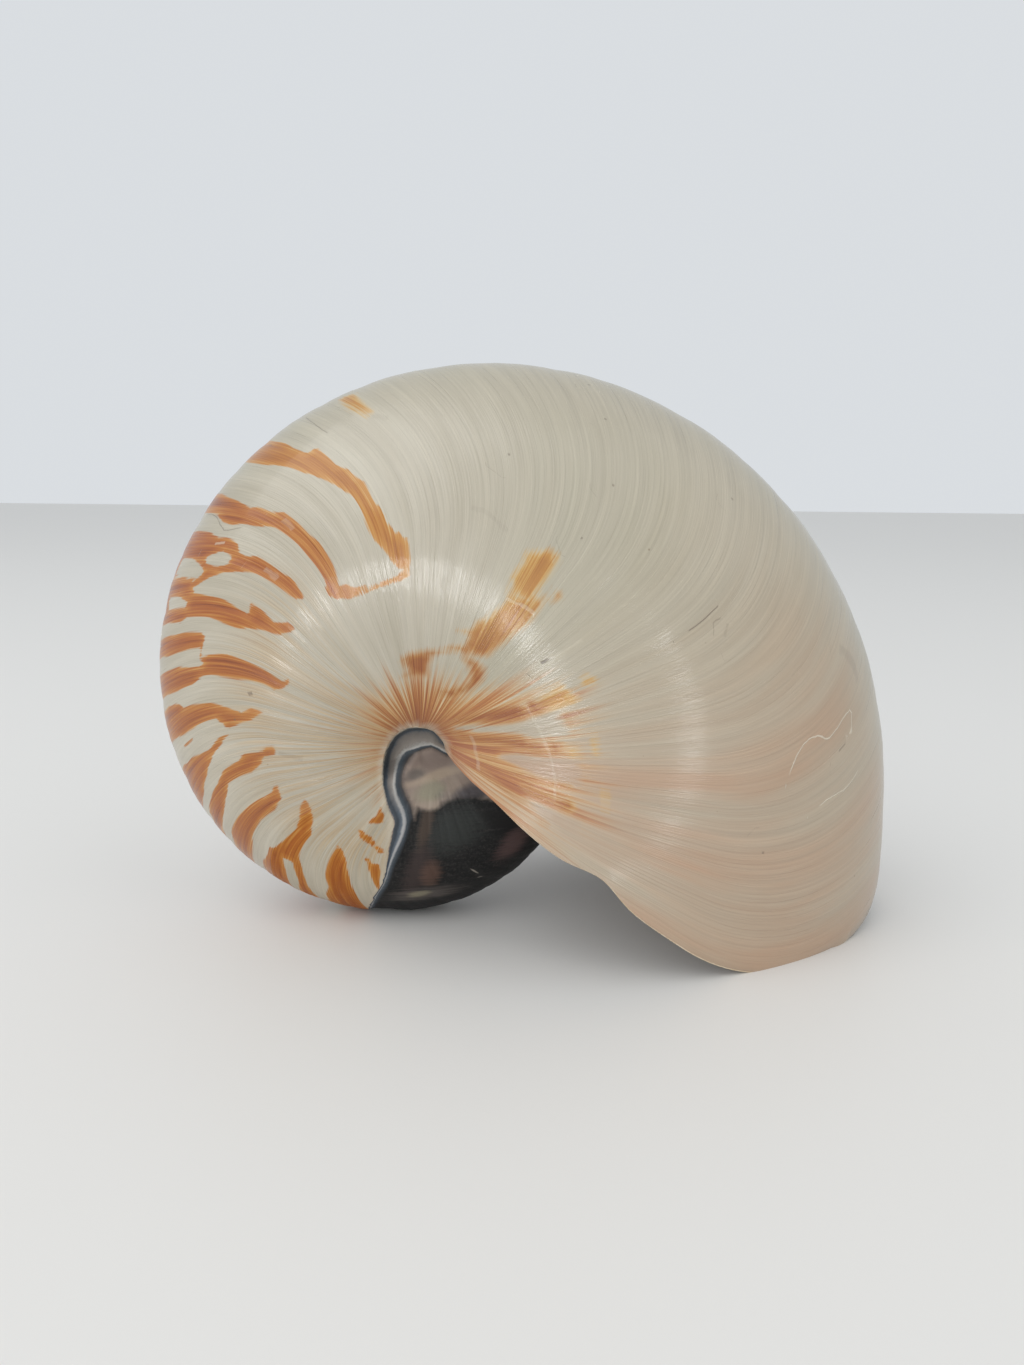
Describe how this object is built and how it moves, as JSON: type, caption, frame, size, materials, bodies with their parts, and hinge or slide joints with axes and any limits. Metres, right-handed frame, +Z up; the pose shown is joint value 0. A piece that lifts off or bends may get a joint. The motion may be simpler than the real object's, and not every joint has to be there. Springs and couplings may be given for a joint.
{
  "type": "chambered nautilus shell",
  "caption": "Spiral nautilus shell with an open body chamber, resting on the keel of its coil and the two lobes of its lip.",
  "frame": {"origin": "centre of the bounding box, on the surface that the shell stands on", "axes": "+X from the coil towards the keel of the body chamber, +Z up, Y = 0 is the plane of symmetry and the near flank faces -Y"},
  "size_m": [0.1698, 0.0846, 0.127],
  "materials": {
    "shell": "satin porcelain-like outer layer, ivory with orange-brown stripes, nacre inside"
  },
  "bodies": {
    "root": {"shell": "shell"}
  },
  "joints": []
}
